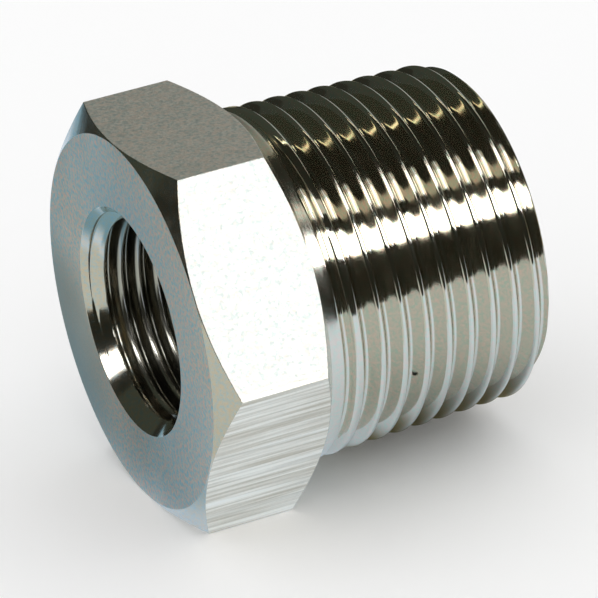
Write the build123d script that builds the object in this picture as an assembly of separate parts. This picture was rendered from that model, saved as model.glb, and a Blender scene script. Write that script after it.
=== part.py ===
from build123d import *
import math
import os

os.makedirs("parts", exist_ok=True)

# A hexagon reducing bushing: a taper pipe thread outside and a parallel pipe thread inside.
# It lies on one flat with its axis along +X, and the middle of its front face is the origin.
# It is turned about +Z first, with z measured along the axis from the front face, and laid down last.

# Wrench hexagon
ACROSS_FLATS = 36.0
HEX_WIDTH = 12.25
HEX_CHAMFER_DEG = 30.0
FRONT_FACE_DIAMETER = 35.8
BACK_FACE_DIAMETER = 34.5

# Male thread, size 1, with its small end at the far end of the bushing
LENGTH = 35.65
PITCH = 2.309
GAUGE_DIAMETER = 33.249
GAUGE_LENGTH = 12.7
TAPER = 1 / 16
FLANK_DEG = 27.5
DEPTH_PER_PITCH = 0.640327
PLAIN_BAND = 0.5
RUN_OUT = 2.5
GROOVE_START_DEG = 176.3
END_FACE_DIAMETER = 30.4
END_CHAMFER_DEG = 45.0

# Bore for the female thread, size 1/2, open in the front face: its crests lie on the minor diameter
MINOR_DIAMETER = 18.631
THREADED_DEPTH = 21.5
MOUTH_DIAMETER = 22.06
MOUTH_DEG = 45.0

# Plain bore behind the female thread
THROUGH_DIAMETER = 18.0
DRILL_POINT_DEG = 59.0
OUTLET_CHAMFER = 0.5

# How far a cutting shape reaches past the surface it cuts
CLEAR = 0.2


def rise(run, degrees):
    """How far a line climbs over a run when it leans by so many degrees."""
    return run * math.tan(math.radians(degrees))


def crest_radius(z):
    """The male crests lie on a cone that has the gauge diameter at the gauge plane."""
    gauge_z = LENGTH - GAUGE_LENGTH
    return (GAUGE_DIAMETER - (z - gauge_z) * TAPER) / 2


def turned(*corners):
    """A solid of revolution about the axis, from (radius, z) corners."""
    with BuildPart() as made:
        with BuildSketch(Plane.XZ):
            with BuildLine():
                Polyline(*corners, close=True)
            make_face()
        revolve(axis=Axis.Z)
    return made.part


def groove_floor(start_z, floor_radius, height, climb):
    """The right-hand helix at the foot of a groove, drawn from start_z back towards the hexagon.

    It moves away from the axis by climb over its height.
    """
    return Helix(
        pitch=PITCH,
        height=height,
        radius=floor_radius,
        center=(0, 0, start_z),
        direction=(0, 0, -1),
        cone_angle=math.degrees(math.atan(climb / height)),
    )


def groove_along(floor):
    """The space between two ridges: a 55 degree wedge swept along the helix of its foot."""
    depth = thread_depth + CLEAR
    half_mouth = rise(depth, FLANK_DEG)
    start = floor @ 0
    outwards = Vector(start.X, start.Y, 0).normalized()
    around = outwards.cross(Vector(0, 0, 1))
    with BuildPart() as made:
        with BuildSketch(Plane(origin=start, x_dir=outwards, z_dir=around)):
            with BuildLine():
                Polyline((0, 0), (depth, -half_mouth), (depth, half_mouth), close=True)
            make_face()
        sweep(path=floor, is_frenet=True)
    return made.part


# The hexagon, with both ends turned to a shallow cone
front_radius = FRONT_FACE_DIAMETER / 2
back_radius = BACK_FACE_DIAMETER / 2
outer_radius = ACROSS_FLATS / math.sqrt(3) + CLEAR
with BuildPart() as hexagon:
    with BuildSketch():
        RegularPolygon(radius=ACROSS_FLATS / 2, side_count=6, major_radius=False, rotation=30)
    extrude(amount=HEX_WIDTH)
between_cones = turned(
    (0, 0),
    (front_radius, 0),
    (outer_radius, rise(outer_radius - front_radius, HEX_CHAMFER_DEG)),
    (outer_radius, HEX_WIDTH - rise(outer_radius - back_radius, HEX_CHAMFER_DEG)),
    (back_radius, HEX_WIDTH),
    (0, HEX_WIDTH),
)
head = hexagon.part & between_cones

# The shank starts as a taper longer than the bushing, so that the groove runs off its end
root_z = HEX_WIDTH / 2
far_z = LENGTH + PITCH
beyond_z = far_z + 2 * PITCH
taper = turned(
    (0, root_z),
    (crest_radius(root_z), root_z),
    (crest_radius(beyond_z), beyond_z),
    (0, beyond_z),
)

# The groove of the male thread keeps its depth up to the run-out, where it climbs out of the metal
thread_depth = PITCH * DEPTH_PER_PITCH
full_depth_z = HEX_WIDTH + PLAIN_BAND + RUN_OUT
full_height = far_z - full_depth_z
full_floor = groove_floor(far_z, crest_radius(far_z) - thread_depth, full_height, full_height * TAPER / 2)
fading_floor = groove_floor(full_depth_z, crest_radius(full_depth_z) - thread_depth, RUN_OUT, thread_depth + CLEAR)
turned_so_far_deg = 360 * full_height / PITCH
threaded = taper - groove_along(full_floor) - groove_along(fading_floor).rotate(Axis.Z, -turned_so_far_deg)
threaded = threaded.rotate(Axis.Z, GROOVE_START_DEG)

# The end is faced and chamfered through the last turns
end_radius = END_FACE_DIAMETER / 2
faced = turned(
    (0, 0),
    (outer_radius, 0),
    (outer_radius, LENGTH - (outer_radius - end_radius) / math.tan(math.radians(END_CHAMFER_DEG))),
    (end_radius, LENGTH),
    (0, LENGTH),
)
shank = threaded & faced

# The bore: a countersunk mouth, the threaded length, a drill point and the plain way through
mouth_radius = MOUTH_DIAMETER / 2
minor_radius = MINOR_DIAMETER / 2
through_radius = THROUGH_DIAMETER / 2
mouth_depth = (mouth_radius - minor_radius) / math.tan(math.radians(MOUTH_DEG))
point_depth = (minor_radius - through_radius) / math.tan(math.radians(DRILL_POINT_DEG))
bore = turned(
    (0, -CLEAR),
    (mouth_radius + rise(CLEAR, MOUTH_DEG), -CLEAR),
    (minor_radius, mouth_depth),
    (minor_radius, THREADED_DEPTH),
    (through_radius, THREADED_DEPTH + point_depth),
    (through_radius, LENGTH - OUTLET_CHAMFER),
    (through_radius + OUTLET_CHAMFER + CLEAR, LENGTH + CLEAR),
    (0, LENGTH + CLEAR),
)
bushing = head + shank - bore

# Laid on its side: the axis turns from +Z to +X
hex_bushing = (Rot(Y=90) * bushing).solid()
hex_bushing.label = "hex_bushing"
export_step(hex_bushing, "parts/hex_bushing.step")
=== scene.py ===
"""Looks of the hex reducing bushing: steel with turned, drawn and polished surfaces.

The part lies on a flat of its hexagon. +X runs along the thread axis, +Z is up, and the origin is the
middle of the hexagon's front face. The part's lengths are millimetres until Shell.grid() makes them
metres. The stage is in metres.
"""
import math

import bmesh
import bpy
import numpy as np
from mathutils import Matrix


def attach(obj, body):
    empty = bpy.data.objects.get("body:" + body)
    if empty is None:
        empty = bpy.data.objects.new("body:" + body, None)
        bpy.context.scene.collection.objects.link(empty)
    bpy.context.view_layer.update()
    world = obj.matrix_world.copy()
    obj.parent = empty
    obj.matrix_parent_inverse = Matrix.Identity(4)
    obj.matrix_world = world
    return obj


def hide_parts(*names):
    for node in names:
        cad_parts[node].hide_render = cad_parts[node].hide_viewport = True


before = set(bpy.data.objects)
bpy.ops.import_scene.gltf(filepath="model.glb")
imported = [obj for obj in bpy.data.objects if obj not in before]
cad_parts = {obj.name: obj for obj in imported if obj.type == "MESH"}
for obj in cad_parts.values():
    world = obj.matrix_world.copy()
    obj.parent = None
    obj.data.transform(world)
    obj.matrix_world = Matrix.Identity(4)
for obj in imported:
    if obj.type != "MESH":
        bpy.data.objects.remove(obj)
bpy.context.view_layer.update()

MM = 0.001

# ---- sizes, the same as the part's ----
ACROSS_FLATS = 36.0
HEX_WIDTH = 12.25
FRONT_FACE_R = 17.9
BACK_FACE_R = 17.25
HEX_CHAMFER = math.tan(math.radians(30.0))
LENGTH = 35.65
PITCH = 2.309
DEPTH_PER_PITCH = 0.640327
ROUND_PER_PITCH = 0.137329
DEPTH = DEPTH_PER_PITCH * PITCH
END_CREST_R = 16.228
RADIUS_TAPER = 1.0 / 32.0
FLANK_ANGLE = math.radians(27.5)
GROOVE_FOOT_X = 15.87
GROOVE_FOOT_DEG = 62.0
FULL_DEPTH_X = 15.25
FADED_X = 12.75
FADE_HEIGHT = 0.2
END_FACE_R = 15.2
BORE_PITCH = 1.814
BORE_DEPTH = DEPTH_PER_PITCH * BORE_PITCH
MINOR_R = 9.3155
THREADED_X = 21.5
MOUTH_R = 11.03
THROUGH_R = 9.0
DRILL_RISE = 0.19
BORE_FOOT_DEG = 231.0
BORE_FULL_X = 17.5
BORE_FADED_X = 20.5
OUTLET_CHAMFER = 0.5

# ---- finish of the form, finer than the part's ----
CREST_BLEND = 0.27
LEAST_BLEND = 0.15
BORE_BLEND = 0.45
EDGE_BLEND = 0.05
EDGE_ROUND = 0.12
CORNER_ROUND = 0.16
SUPPORT = 0.03
MOST_ROUND_SHARE = 0.42
MOST_SUPPORT_SHARE = 0.05
ARC_STEPS = 4
COLUMNS_BETWEEN_CORNERS = 19
ROOT_SHARE = 0.16
CREST_SHARE = 0.18
END_ZONE = 1.45
MOUTH_ZONE = 2.0
FINE_STEP = 0.05
SHARP_ANGLE = math.radians(48.0)
MERGE_WITHIN = 2e-7


# ---- camera ----
def add_camera():
    data = bpy.data.cameras.new("camera")
    data.sensor_fit = "HORIZONTAL"
    data.sensor_width = 36.0
    data.lens = 340.934
    data.clip_start = 0.01
    data.clip_end = 20.0
    camera = bpy.data.objects.new("camera", data)
    camera.location = (-0.176715, -0.434904, 0.228965)
    camera.rotation_euler = [math.radians(a) for a in (64.01413, 4.06765, -26.01286)]
    bpy.context.collection.objects.link(camera)
    bpy.context.scene.camera = camera


# ---- curves ----
def soft_min(a, b, blend):
    near = np.clip(blend - np.abs(a - b), 0.0, None) / blend
    return np.minimum(a, b) - near * near * blend / 4.0


def soft_max(a, b, blend):
    return -soft_min(-a, -b, blend)


def vee(u, radius):
    """Height of a 55 degree groove's wall above its foot, with a round foot."""
    u = np.abs(u)
    half = radius * math.cos(FLANK_ANGLE)
    lift = radius * (1.0 - math.sin(FLANK_ANGLE))
    arc = radius - np.sqrt(np.clip(radius * radius - u * u, 0.0, None))
    return np.where(u < half, arc, lift + (u - half) / math.tan(FLANK_ANGLE))


def crest_r(x):
    return END_CREST_R + (LENGTH - x) * RADIUS_TAPER


def male_r(angle, x):
    """Radius of the shank's surface at an angle and a place along the axis."""
    foot = GROOVE_FOOT_X + PITCH * (angle - math.radians(GROOVE_FOOT_DEG)) / math.tau
    nearest = foot + PITCH * np.round((x - foot) / PITCH)
    radius = crest_r(x)
    for turn in (-1.0, 0.0, 1.0):
        at = nearest + turn * PITCH
        share = np.clip((FULL_DEPTH_X - at) / (FULL_DEPTH_X - FADED_X), 0.0, None)
        wall = crest_r(at) - DEPTH + share * (DEPTH + FADE_HEIGHT) + vee(x - at, ROUND_PER_PITCH * PITCH)
        radius = soft_min(radius, wall, CREST_BLEND * np.clip(1.0 + LEAST_BLEND - share, LEAST_BLEND, 1.0))
    return soft_min(radius, END_FACE_R + LENGTH - x, EDGE_BLEND)


def bore_r(angle, x):
    """Radius of the bore's surface from its mouth to the end of the thread."""
    foot = BORE_PITCH * (angle - math.radians(BORE_FOOT_DEG)) / math.tau
    nearest = foot + BORE_PITCH * np.round((x - foot) / BORE_PITCH)
    radius = np.full_like(x, MINOR_R)
    for turn in (-1.0, 0.0, 1.0):
        at = nearest + turn * BORE_PITCH
        share = np.clip((at - BORE_FULL_X) / (BORE_FADED_X - BORE_FULL_X), 0.0, None)
        wall = MINOR_R + BORE_DEPTH - share * (BORE_DEPTH + FADE_HEIGHT)
        wall = wall - vee(x - at, ROUND_PER_PITCH * BORE_PITCH)
        radius = soft_max(radius, wall, BORE_BLEND)
    return soft_max(radius, MOUTH_R - x, EDGE_BLEND)


# ---- grid ----
def corner_arc():
    """Distance of a corner's arc centre from the axis, and the angle at which its arc meets the flats."""
    centre = (ACROSS_FLATS / 2 - CORNER_ROUND) / math.cos(math.pi / 6)
    return centre, math.atan2(CORNER_ROUND / 2, centre + CORNER_ROUND * math.cos(math.pi / 6))


def column_angles():
    """Angles of the grid's columns, closer together at the hexagon's rounded corners."""
    tangent = corner_arc()[1]
    close = [-1.6 * tangent, -tangent, -tangent / 2, 0.0, tangent / 2, tangent, 1.6 * tangent]
    gaps = COLUMNS_BETWEEN_CORNERS + 1
    wide = [math.pi / 3 * k / gaps for k in range(1, gaps)]
    angles = [math.pi / 3 * corner + a for corner in range(6) for a in close + wide]
    return np.sort(np.mod(angles, math.tau))


COLUMNS = column_angles()


def hexagon_r(angle):
    """Radius of the hexagon with rounded corners."""
    off = (angle + math.pi / 6) % (math.pi / 3) - math.pi / 6
    flat = ACROSS_FLATS / 2 / np.cos(math.pi / 6 - np.abs(off))
    centre, tangent = corner_arc()
    inside = np.clip(CORNER_ROUND**2 - (centre * np.sin(off)) ** 2, 0.0, None)
    return np.where(np.abs(off) < tangent, centre * np.cos(off) + np.sqrt(inside), flat)


class Shell:
    """One closed surface, gathered from grids that meet at shared rings."""

    def __init__(self):
        self.points, self.faces, self.finish = [], [], []
        self.count = 0

    def grid(self, x, r, angles, finish, closed=True):
        """Adds a grid of spots: places along the axis, radii and angles. Its rows can differ in finish."""
        rows, columns = x.shape
        spots = np.stack([x, r * np.cos(angles), r * np.sin(angles)], axis=-1) * MM
        self.points.append(spots.reshape(-1, 3))
        last = columns if closed else columns - 1
        for i in range(rows - 1):
            for j in range(last):
                k = (j + 1) % columns
                a, b = self.count + i * columns, self.count + (i + 1) * columns
                self.faces.append((a + j, a + k, b + k, b + j))
                self.finish.append(finish if isinstance(finish, int) else finish[i])
        self.count += rows * columns

    def put(self, name, materials):
        """Joins the grids into one closed mesh in metres and links it to the scene."""
        mesh = bpy.data.meshes.new(name)
        mesh.from_pydata(np.concatenate(self.points).tolist(), [], self.faces)
        mesh.polygons.foreach_set("material_index", self.finish)
        for material in materials:
            mesh.materials.append(material)
        work = bmesh.new()
        work.from_mesh(mesh)
        bmesh.ops.remove_doubles(work, verts=work.verts, dist=MERGE_WITHIN)
        bmesh.ops.recalc_face_normals(work, faces=work.faces)
        work.to_mesh(mesh)
        work.free()
        mesh.shade_smooth()
        mesh.set_sharp_from_angle(angle=SHARP_ANGLE)
        piece = bpy.data.objects.new(name, mesh)
        bpy.context.collection.objects.link(piece)
        return piece


def rounded(corners, radii):
    """A line of (x, r) corner arrays with each inner corner rounded, for all columns at once."""
    rows = [corners[0]]
    for before, corner, after, radius in zip(corners, corners[1:], corners[2:], radii):
        back, on = before - corner, after - corner
        back_length, on_length = np.linalg.norm(back, axis=0), np.linalg.norm(on, axis=0)
        back, on = back / back_length, on / on_length
        half = np.arccos(np.clip((back * on).sum(axis=0), -1.0, 1.0)) / 2
        shorter = np.minimum(back_length, on_length)
        reach = np.minimum(radius / np.tan(half), MOST_ROUND_SHARE * shorter)
        support = np.minimum(SUPPORT, MOST_SUPPORT_SHARE * shorter)
        size = reach * np.tan(half)
        inwards = back + on
        middle = corner + inwards / np.linalg.norm(inwards, axis=0) * size / np.sin(half)
        start, end = corner + back * reach, corner + on * reach
        rows.append(start + back * support)
        for step in range(ARC_STEPS + 1):
            mix = step / ARC_STEPS
            spot = start * (1 - mix) + end * mix - middle
            rows.append(middle + spot / np.linalg.norm(spot, axis=0) * size)
        rows.append(end + on * support)
    rows.append(corners[-1])
    return np.array(rows)


def line_grid(shell, corners, radii, finishes):
    """A grid along a line of corners. A finish ends in the middle of the round at its last corner."""
    corners = [np.array([np.broadcast_to(value, COLUMNS.shape) for value in corner]) for corner in corners]
    rows = rounded(corners, radii)
    bands = [finishes[0]] * (2 + ARC_STEPS // 2)
    for finish in finishes[1:]:
        bands += [finish] * (ARC_STEPS + 3)
    shell.grid(rows[:, 0], rows[:, 1], COLUMNS, bands)


def helix_grid(shell, radius_of, pitch, start, first_x, last_x, offsets, finish):
    """A strip that follows the thread from one ring to another; what lies beyond a ring folds onto it."""
    turns = math.ceil((last_x - start) / pitch) + 1
    angles = [COLUMNS + math.tau * turn for turn in range(turns)] + [[COLUMNS[0] + math.tau * turns]]
    angles = np.concatenate(angles)
    x = start + pitch * angles[None, :] / math.tau + np.array(offsets)[:, None]
    x = np.clip(x, first_x, last_x)
    around = np.broadcast_to(np.mod(angles, math.tau), x.shape)
    shell.grid(x, radius_of(around, x), angles, finish, closed=False)


def ring_grid(shell, radius_of, first_x, last_x, finish):
    """Fine rings, for where an edge that runs round the axis cuts through the thread."""
    rows = round((last_x - first_x) / FINE_STEP)
    x = np.linspace(first_x, last_x, rows + 1)[:, None] + np.zeros_like(COLUMNS)[None, :]
    around = np.broadcast_to(COLUMNS, x.shape)
    shell.grid(x, radius_of(around, x), COLUMNS, finish)


def thread_offsets(pitch, root, wall, crest):
    """Row places across one pitch, from one groove's foot to the next, close together on the curves."""
    foot = ROOT_SHARE * pitch
    top = pitch / 2 - CREST_SHARE * pitch
    half = np.concatenate([
        np.linspace(0.0, foot, root),
        np.linspace(foot, top, wall)[1:],
        np.linspace(top, pitch / 2, crest)[1:],
    ])
    return np.concatenate([half, pitch - half[-2::-1]])


FACE, FLAT, CHAMFER, THREAD, BORE, END = range(6)


def foot_before(x, pitch, foot_x, foot_deg):
    """Place along the axis where a helix that begins before x passes angle 0."""
    start = foot_x - pitch * foot_deg / 360.0
    return start - pitch * math.ceil((start + pitch - x) / pitch)


def add_hexagon(shell):
    hexagon = hexagon_r(COLUMNS)
    front = (hexagon - FRONT_FACE_R) * HEX_CHAMFER
    back = HEX_WIDTH - (hexagon - BACK_FACE_R) * HEX_CHAMFER
    shank = male_r(COLUMNS, np.full_like(COLUMNS, HEX_WIDTH))
    mouth = bore_r(COLUMNS, np.zeros_like(COLUMNS))
    corners = [(0.0, mouth), (0.0, FRONT_FACE_R), (front, hexagon), (back, hexagon),
               (HEX_WIDTH, BACK_FACE_R), (HEX_WIDTH, shank)]
    line_grid(shell, corners, [EDGE_ROUND] * 4, [FACE, CHAMFER, FLAT, CHAMFER, END])


def add_shank(shell):
    start = foot_before(HEX_WIDTH, PITCH, GROOVE_FOOT_X, GROOVE_FOOT_DEG)
    split = LENGTH - END_ZONE
    offsets = thread_offsets(PITCH, root=5, wall=3, crest=7)
    helix_grid(shell, male_r, PITCH, start, HEX_WIDTH, split, offsets, THREAD)
    ring_grid(shell, male_r, split, LENGTH, THREAD)


def add_bore(shell):
    ring_grid(shell, bore_r, 0.0, MOUTH_ZONE, BORE)
    start = foot_before(MOUTH_ZONE, BORE_PITCH, 0.0, BORE_FOOT_DEG)
    offsets = thread_offsets(BORE_PITCH, root=4, wall=3, crest=4)
    helix_grid(shell, bore_r, BORE_PITCH, start, MOUTH_ZONE, THREADED_X, offsets, BORE)


def add_outlet(shell):
    end = bore_r(COLUMNS, np.full_like(COLUMNS, THREADED_X))
    rim = male_r(COLUMNS, np.full_like(COLUMNS, LENGTH))
    corners = [(THREADED_X, end), (THREADED_X + DRILL_RISE, THROUGH_R), (LENGTH - OUTLET_CHAMFER, THROUGH_R),
               (LENGTH, THROUGH_R + OUTLET_CHAMFER), (LENGTH, rim)]
    line_grid(shell, corners, [EDGE_ROUND] * 3, [BORE, BORE, END, END])


def build_shell():
    shell = Shell()
    add_hexagon(shell)
    add_shank(shell)
    add_bore(shell)
    add_outlet(shell)
    return shell


# ---- colours ----
STEEL = (0.69, 0.63, 0.52)
STEEL_COOL = (0.56, 0.62, 0.59)
STEEL_WARM = (0.80, 0.60, 0.41)
FACE_COOL = (0.38, 0.58, 0.60)
FACE_WARM = (1.0, 0.56, 0.40)
# colour of a darker patch low at the front face's left
PATCH_COLOUR = (0.42, 0.42, 0.37)
DRAWN = (0.86, 0.83, 0.76)
DRAWN_COOL = (0.62, 0.66, 0.61)
DRAWN_WARM = (0.98, 0.81, 0.69)
STREAK_DARK = (0.64, 0.54, 0.40)
STREAK_LIGHT = (1.0, 0.92, 0.79)
THREAD_COOL = (0.60, 0.65, 0.53)
THREAD_WARM = (0.80, 0.60, 0.50)
# painted shade deep in the bore: darkest in its thread grooves, lighter on its crests
BORE_GROOVE_SHADE = (0.33, 0.315, 0.27)
BORE_CREST_SHADE = (0.50, 0.47, 0.41)
PIT_COLOUR = (0.05, 0.05, 0.045)
FLOOR_COLOUR = (0.985, 0.985, 0.985)
# painted light and shade of the floor as reflections see it: lit, warmer lit beside the face, shaded before
# the face, and a shadow under the thread
FLOOR_LIT = (0.80, 0.945, 1.14)
FLOOR_WARM_LIGHT = (0.66, 0.72, 0.71)
FLOOR_SHADED = (0.24, 0.43, 0.56)
FLOOR_SHADOW_UNDER = (0.28, 0.26, 0.15)

# ---- places of marks, in millimetres ----
# centre and size of a darker patch low at the front face's left
PATCH_CENTRE = (0.0, 17.0, -9.0)
PATCH_SIZE = 14.5
SCORED_FLAT = (0.0, -math.cos(math.pi / 6), -0.5)
SCORED_WITHIN = 1.0
SCORED_FULLY_WITHIN = 0.1
PLAIN_END = (12.9, 14.1)
MATTE_ABOVE = (15.5, 16.4)
PIT = (20.85, -14.2, -6.1)
PIT_SIZE = 0.42
# where the bore's painted shade and extra roughness begin, and how far out into the grooves the painted shade
# deepens
INSIDE_FROM = (1.8, 3.2)
SUNK_FROM = (0.05, 0.3)

# ---- floor, in metres ----
FLOOR_Z = -ACROSS_FLATS / 2 * MM - 1e-5
FLOOR_HALF = 3.0
# painted glow that reflections see on the floor near the part, and where it ends
FLOOR_GLOW = 0.5
GLOW_END = (0.024, 0.015)
FACE_SLANT = (2.243, 1.0, 0.0)


# ---- materials ----
def even(cells):
    return (cells, cells, cells)


class Nodes:
    """A material being made, and short ways to add nodes to it."""

    def __init__(self, name):
        self.material = bpy.data.materials.new(name)
        self.material.use_nodes = True
        self.tree = self.material.node_tree
        self.shader = self.tree.nodes["Principled BSDF"]
        self.place = self.node("ShaderNodeTexCoord").outputs["Object"]

    def node(self, kind, **settings):
        made = self.tree.nodes.new(kind)
        for key, value in settings.items():
            setattr(made, key, value)
        return made

    def feed(self, socket, value):
        if isinstance(value, bpy.types.NodeSocket):
            self.tree.links.new(value, socket)
        else:
            socket.default_value = value

    def against(self, operation, other, output="Vector"):
        """The place, put through a vector operation with a constant."""
        node = self.node("ShaderNodeVectorMath", operation=operation)
        self.feed(node.inputs[0], self.place)
        node.inputs[1].default_value = other
        return node.outputs[output]

    def coordinate(self, axis):
        node = self.node("ShaderNodeSeparateXYZ")
        self.feed(node.inputs[0], self.place)
        return node.outputs[axis]

    def towards(self, direction):
        """How far out a spot lies in one direction."""
        return self.against("DOT_PRODUCT", direction, output="Value")

    def maths(self, operation, a, b):
        node = self.node("ShaderNodeMath", operation=operation)
        self.feed(node.inputs[0], a)
        self.feed(node.inputs[1], b)
        return node.outputs[0]

    def product(self, *factors):
        total = factors[0]
        for factor in factors[1:]:
            total = self.maths("MULTIPLY", total, factor)
        return total

    def span(self, value, low, high, to_low=0.0, to_high=1.0, smooth=False):
        """Takes a value from one range to another, and keeps it inside that."""
        node = self.node("ShaderNodeMapRange", interpolation_type="SMOOTHSTEP" if smooth else "LINEAR")
        self.feed(node.inputs["Value"], value)
        limits = {"From Min": low, "From Max": high, "To Min": to_low, "To Max": to_high}
        for key, limit in limits.items():
            node.inputs[key].default_value = limit
        return node.outputs["Result"]

    def fade(self, value, start, end):
        """0 at the start and 1 at the end, smoothly."""
        return self.span(value, start, end, smooth=True)

    def tint(self, value, first, second):
        """A colour between two, by a value from 0 to 1."""
        node = self.node("ShaderNodeMix", data_type="RGBA")
        self.feed(node.inputs["Factor"], value)
        for key, colour in (("A", first), ("B", second)):
            socket = [i for i in node.inputs if i.name == key and i.type == "RGBA"][0]
            self.feed(socket, colour if isinstance(colour, bpy.types.NodeSocket) else (*colour, 1.0))
        return [o for o in node.outputs if o.type == "RGBA"][0]


class Metal(Nodes):
    """A bare metal. Its patterns are laid out in millimetres on the object itself."""

    def __init__(self, name, anisotropy=0.0):
        super().__init__(name)
        self.shader.inputs["Metallic"].default_value = 1.0
        self.shader.inputs["Anisotropic"].default_value = anisotropy
        self.shader.inputs["Anisotropic Rotation"].default_value = 0.25
        self.place = self.against("MULTIPLY", even(1.0 / MM))
        self.height = None

    def out(self):
        """Millimetres out from the bushing's axis."""
        node = self.node("ShaderNodeVectorMath", operation="LENGTH")
        self.feed(node.inputs[0], self.against("MULTIPLY", (0.0, 1.0, 1.0)))
        return node.outputs["Value"]

    def from_spot(self, spot):
        """Millimetres from one spot."""
        return self.against("DISTANCE", spot, output="Value")

    def noise(self, cells, detail=2.0, roughness=0.5):
        """Soft noise with its own number of cells to the millimetre along X, Y and Z."""
        node = self.node("ShaderNodeTexNoise")
        self.feed(node.inputs["Vector"], self.against("MULTIPLY", cells))
        node.inputs["Scale"].default_value = 1.0
        node.inputs["Detail"].default_value = detail
        node.inputs["Roughness"].default_value = roughness
        return node.outputs["Fac"]

    def lines(self, value, per_mm, detail=2.0):
        """Noise that changes along one value only, as tool marks do."""
        node = self.node("ShaderNodeTexNoise", noise_dimensions="1D")
        self.feed(node.inputs["W"], value)
        node.inputs["Scale"].default_value = per_mm
        node.inputs["Detail"].default_value = detail
        return node.outputs["Fac"]

    def between(self, noise, low, high):
        """A value that wanders between two limits as a noise does."""
        return self.span(noise, 0.3, 0.7, low, high)

    def with_more(self, value, mask, amount):
        """A value with an amount more of it where a mask is 1."""
        return self.maths("ADD", value, self.maths("MULTIPLY", mask, amount))

    def raise_by(self, value, microns):
        """Adds a pattern to the relief."""
        layer = self.maths("MULTIPLY", value, microns)
        self.height = layer if self.height is None else self.maths("ADD", self.height, layer)

    def finish(self, colour, roughness, turned=True):
        """Makes the material. Turned metal spreads light across its rings."""
        self.feed(self.shader.inputs["Base Color"], colour)
        self.feed(self.shader.inputs["Roughness"], roughness)
        bump = self.node("ShaderNodeBump")
        bump.inputs["Strength"].default_value = 1.0
        bump.inputs["Distance"].default_value = 1e-6
        self.feed(bump.inputs["Height"], self.height)
        self.feed(self.shader.inputs["Normal"], bump.outputs["Normal"])
        if turned:
            node = self.node("ShaderNodeTangent", direction_type="RADIAL", axis="X")
            self.feed(self.shader.inputs["Tangent"], node.outputs["Tangent"])
        return self.material


def grain(metal, plain=STEEL, cool=STEEL_COOL, warm=STEEL_WARM, cells=3.0):
    """Fine speckle of a slightly different colour, as metal that isn't quite clean has."""
    cooler = metal.span(metal.noise(even(cells), detail=1.0), 0.38, 0.62)
    warmer = metal.noise((cells * 0.8, cells * 0.9, cells * 1.1), detail=1.0)
    warmer = metal.span(warmer, 0.4, 0.66, to_high=0.55)
    return metal.tint(warmer, metal.tint(cooler, plain, cool), warm)


def faced():
    """Front face: fine circles from the facing tool, and a darker patch low at its left."""
    metal = Metal("steel_faced", anisotropy=0.35)
    metal.raise_by(metal.lines(metal.out(), per_mm=2.6, detail=3.0), microns=5.0)
    metal.raise_by(metal.noise(even(3.2)), microns=45.0)
    rough = metal.between(metal.noise(even(0.12)), 0.44, 0.6)
    # a darker patch low at the face's left
    patch = metal.span(metal.from_spot(PATCH_CENTRE), PATCH_SIZE * 0.4, PATCH_SIZE, 0.9, 0.0, smooth=True)
    speckled = grain(metal, STEEL, FACE_COOL, FACE_WARM, cells=2.5)
    return metal.finish(metal.tint(patch, speckled, PATCH_COLOUR), rough)


def drawn():
    """Flats: the matte skin of drawn bar. One flat, low at the side, has streaks and scores along the bar."""
    metal = Metal("steel_drawn")
    flat = ACROSS_FLATS / 2
    limits = (flat - SCORED_WITHIN, flat - SCORED_FULLY_WITHIN)
    scored = metal.span(metal.towards(SCORED_FLAT), *limits, to_low=0.12)
    streaks = metal.noise((0.06, 2.2, 2.2), detail=3.0, roughness=0.6)
    scores = metal.span(metal.noise((0.05, 1.3, 1.3), detail=1.0), 0.62, 0.7)
    scores = metal.product(scores, scored)
    speckle = metal.noise(even(3.6))
    metal.raise_by(metal.product(streaks, scored), microns=40.0)
    metal.raise_by(scores, microns=-14.0)
    metal.raise_by(speckle, microns=30.0)
    rough = metal.with_more(metal.between(speckle, 0.62, 0.52), scores, -0.16)
    streaked = metal.tint(metal.span(streaks, 0.36, 0.64), STREAK_DARK, STREAK_LIGHT)
    speckled = grain(metal, DRAWN, DRAWN_COOL, DRAWN_WARM, cells=2.6)
    return metal.finish(metal.tint(metal.product(scored, 0.9), speckled, streaked), rough, turned=False)


def chamfered():
    """Chamfers of the hexagon: turned fine and bright."""
    metal = Metal("steel_chamfer", anisotropy=0.3)
    metal.raise_by(metal.lines(metal.out(), per_mm=4.0), microns=2.0)
    metal.raise_by(metal.noise(even(3.4)), microns=4.0)
    return metal.finish(grain(metal), metal.between(metal.noise(even(0.5)), 0.14, 0.24))


def threaded():
    """Shank: the polished thread with its pit, and beside the hexagon a band with plain turning marks."""
    metal = Metal("steel_thread", anisotropy=0.3)
    along = metal.coordinate("X")
    plain = metal.span(along, *PLAIN_END, 1.0, 0.0, smooth=True)
    matte = metal.product(plain, metal.fade(metal.coordinate("Z"), *MATTE_ABOVE))
    pit = metal.span(metal.from_spot(PIT), PIT_SIZE * 0.5, PIT_SIZE, 1.0, 0.0, smooth=True)
    marks = metal.lines(along, per_mm=3.0, detail=3.0)
    metal.raise_by(metal.product(marks, plain), microns=7.0)
    metal.raise_by(marks, microns=0.3)
    metal.raise_by(metal.noise((1.6, 0.6, 0.6), detail=1.0), microns=0.8)
    metal.raise_by(pit, microns=-60.0)
    smears = metal.noise((1.6, 0.35, 0.35), detail=3.0, roughness=0.6)
    rough = metal.span(smears, 0.3, 0.75, 0.05, 0.13)
    rough = metal.with_more(rough, plain, 0.09)
    rough = metal.with_more(rough, matte, 0.3)
    rough = metal.with_more(rough, pit, 0.5)
    speckled = grain(metal, STEEL, THREAD_COOL, THREAD_WARM)
    return metal.finish(metal.tint(pit, speckled, PIT_COLOUR), rough)


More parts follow.
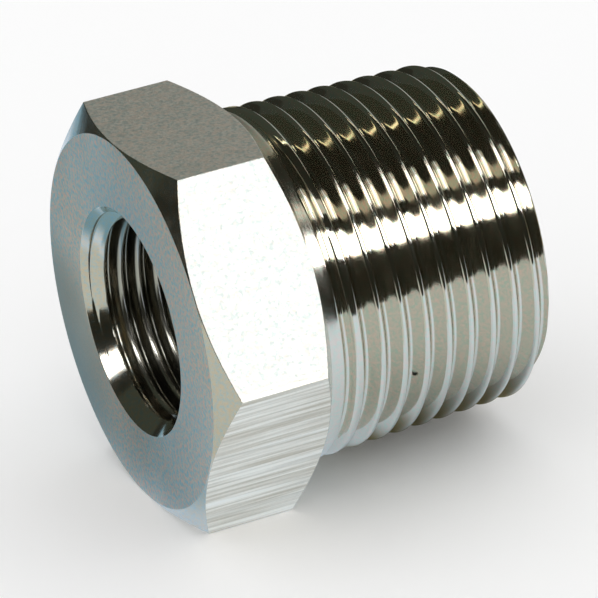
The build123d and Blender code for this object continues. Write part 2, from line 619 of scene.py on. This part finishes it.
def bored():
    """Bore: the cut female thread, rougher deeper in, where painted shade darkens it most in its grooves and
    less on its crests.
    """
    metal = Metal("steel_bore", anisotropy=0.2)
    along = metal.coordinate("X")
    metal.raise_by(metal.lines(along, per_mm=3.5), microns=1.0)
    metal.raise_by(metal.noise(even(3.0)), microns=1.6)
    # painted shade and more roughness deeper in the bore
    inside = metal.fade(along, *INSIDE_FROM)
    sunk = metal.fade(metal.out(), *[MINOR_R + depth for depth in SUNK_FROM])
    rough = metal.between(metal.noise((0.8, 0.3, 0.3), detail=3.0), 0.08, 0.15)
    rough = metal.with_more(rough, inside, 0.08)
    # the painted shade: darkest in the grooves, lighter on the crests
    return metal.finish(metal.tint(inside, grain(metal), metal.tint(sunk, BORE_CREST_SHADE, BORE_GROOVE_SHADE)), rough)


def end_faced():
    """Small end and shoulder: faced, and finer than the front."""
    metal = Metal("steel_end", anisotropy=0.3)
    metal.raise_by(metal.lines(metal.out(), per_mm=3.2, detail=3.0), microns=4.0)
    metal.raise_by(metal.noise(even(3.0)), microns=4.0)
    return metal.finish(grain(metal), metal.between(metal.noise(even(0.3)), 0.26, 0.4))


def floor_paper():
    """White paper. Reflections see it in painted light, warmer beside the face, with painted shade before the
    face and a painted shadow under the thread; near the part they also see it glow with painted light.
    """
    paper = Nodes("floor_paper")
    paper.shader.inputs["Roughness"].default_value = 0.9
    x, y = paper.coordinate("X"), paper.coordinate("Y")
    face_y = paper.towards(FACE_SLANT)
    # painted shade before the face, and warmer painted light beside it
    before_face = paper.product(paper.fade(face_y, -0.032, -0.012), paper.fade(x, 0.002, -0.006),
                                paper.fade(x, -0.046, -0.032))
    beside_face = paper.product(paper.fade(face_y, -0.028, -0.040), paper.fade(x, 0.0, -0.008))
    # painted shadow under the thread
    under_thread = paper.product(paper.fade(y, -0.0095, -0.004), paper.fade(x, 0.016, 0.020))
    seen = paper.tint(beside_face, FLOOR_LIT, FLOOR_WARM_LIGHT)
    seen = paper.tint(before_face, seen, FLOOR_SHADED)
    seen = paper.tint(under_thread, seen, FLOOR_SHADOW_UNDER)
    reflected = paper.node("ShaderNodeLightPath").outputs["Is Glossy Ray"]
    paper.feed(paper.shader.inputs["Base Color"], paper.tint(reflected, FLOOR_COLOUR, seen))
    # the floor glows with painted light in reflections near the part
    glow = paper.node("ShaderNodeEmission")
    paper.feed(glow.inputs["Color"], seen)
    choose = paper.node("ShaderNodeMixShader")
    paper.feed(choose.inputs["Fac"], paper.product(reflected, paper.fade(x, *GLOW_END), FLOOR_GLOW))
    paper.feed(choose.inputs[1], paper.shader.outputs[0])
    paper.feed(choose.inputs[2], glow.outputs[0])
    paper.feed(paper.tree.nodes["Material Output"].inputs["Surface"], choose.outputs[0])
    return paper.material


def emission(name, colour, strength):
    material = bpy.data.materials.new(name)
    material.use_nodes = True
    nodes, links = material.node_tree.nodes, material.node_tree.links
    nodes.clear()
    light = nodes.new("ShaderNodeEmission")
    light.inputs["Color"].default_value = (*colour, 1.0)
    light.inputs["Strength"].default_value = strength
    out = nodes.new("ShaderNodeOutputMaterial")
    links.new(light.outputs[0], out.inputs["Surface"])
    return material


# ---- stage ----
CARD_ROWS = 17
ROUND_COLUMNS = 49


def plain_mesh(name, spots, faces, material):
    mesh = bpy.data.meshes.new(name)
    mesh.from_pydata(spots, [], faces)
    mesh.materials.append(material)
    piece = bpy.data.objects.new(name, mesh)
    bpy.context.collection.objects.link(piece)
    return piece


def studio_card(name, spots, rows, colour, strength):
    """A studio card of a grid of spots in metres. It is seen only in reflections."""
    columns = len(spots) // rows
    faces = []
    for i in range(rows - 1):
        for j in range(columns - 1):
            a = i * columns + j
            faces.append((a, a + 1, a + columns + 1, a + columns))
    piece = plain_mesh(name, spots, faces, emission(name, colour, strength))
    piece.visible_camera = False
    piece.visible_diffuse = False
    piece.visible_shadow = False
    piece.visible_transmission = False


def strip(name, turn, reach, colour, strength, radius=1.0):
    """A card bent round the bushing's axis, between two turns from +Y towards +Z and two places along X."""
    spots = []
    for i in range(CARD_ROWS):
        at = math.radians(turn[0] + (turn[1] - turn[0]) * i / (CARD_ROWS - 1))
        for x in reach:
            spots.append((x, radius * math.cos(at), radius * math.sin(at)))
    studio_card(name, spots, CARD_ROWS, colour, strength)


def round_z(column):
    return math.tau * column / (ROUND_COLUMNS - 1)


def room(radius=2.5, rows=25, lowest=-1.0, highest=90.0):
    """The unlit room above the floor."""
    spots = []
    for i in range(rows):
        up = math.radians(lowest + (highest - lowest) * i / (rows - 1))
        for j in range(ROUND_COLUMNS):
            spots.append((radius * math.cos(up) * math.cos(round_z(j)),
                          radius * math.cos(up) * math.sin(round_z(j)), radius * math.sin(up)))
    studio_card("room", spots, rows, (0.95, 1.0, 0.75), 0.022)


def table_edge(centre_x=0.018, radius=0.22, top=0.012):
    """The dark side that ends the white table top all round, as low reflections see it."""
    spots = []
    for z in (FLOOR_Z, top):
        for j in range(ROUND_COLUMNS):
            spots.append((centre_x + radius * math.cos(round_z(j)), radius * math.sin(round_z(j)), z))
    studio_card("table_edge", spots, 2, (0.95, 1.0, 0.8), 0.03)


def add_floor():
    """A white floor with the object's shadow."""
    spots = [(-FLOOR_HALF, -FLOOR_HALF, FLOOR_Z), (FLOOR_HALF, -FLOOR_HALF, FLOOR_Z),
             (FLOOR_HALF, FLOOR_HALF, FLOOR_Z), (-FLOOR_HALF, FLOOR_HALF, FLOOR_Z)]
    floor = plain_mesh("floor", spots, [(0, 1, 2, 3)], floor_paper())


def add_world():
    world = bpy.data.worlds.new("studio")
    world.use_nodes = True
    background = world.node_tree.nodes["Background"]
    background.inputs["Color"].default_value = (1.0, 1.0, 1.0, 1.0)
    background.inputs["Strength"].default_value = 1.0
    bpy.context.scene.world = world


def add_cards():
    """What the metal reflects: two white softboxes, a lamp tube, lamps at the left and dim walls."""
    room()
    table_edge()
    wide = (-0.4, 2.2)
    strip("softbox", (131.5, 149.0), wide, (0.95, 1.0, 1.07), 5.8)
    strip("window_top", (101.0, 107.0), (-0.6, 0.36), (0.97, 1.0, 1.0), 0.8)
    strip("window", (107.0, 122.0), (-0.6, 0.36), (0.97, 1.0, 1.0), 2.4)
    strip("window_far", (108.5, 118.5), (0.36, 2.2), (1.0, 1.0, 0.9), 0.7)
    strip("window_frame", (111.4, 112.6), wide, (1.0, 0.97, 0.75), 1.6)
    strip("lamp_tube", (58.2, 60.4), (0.05, 2.2), (1.0, 0.97, 0.72), 2.4)
    strip("wall_low", (-10.0, 4.0), (-1.6, 0.6), (0.85, 1.0, 0.85), 0.055, radius=1.1)
    strip("wall", (4.0, 57.0), (-1.6, 0.6), (0.85, 1.0, 0.8), 0.06, radius=1.1)
    strip("wall_right", (-10.0, 56.0), (0.6, 1.9), (0.88, 0.98, 1.0), 0.55, radius=1.1)
    strip("lamp_left", (77.0, 110.0), (-1.96, -1.3), (0.95, 0.98, 1.0), 4.5, radius=0.8)
    strip("lamp_left_near", (102.0, 113.0), (-1.2, -0.5), (0.95, 0.98, 1.0), 9.0, radius=0.8)


add_camera()
materials = [faced(), drawn(), chamfered(), threaded(), bored(), end_faced()]
bushing = build_shell().put("bushing", materials)
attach(bushing, "root")
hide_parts("hex_bushing")
add_floor()
add_world()
add_cards()
bpy.context.scene.view_settings.view_transform = "Standard"
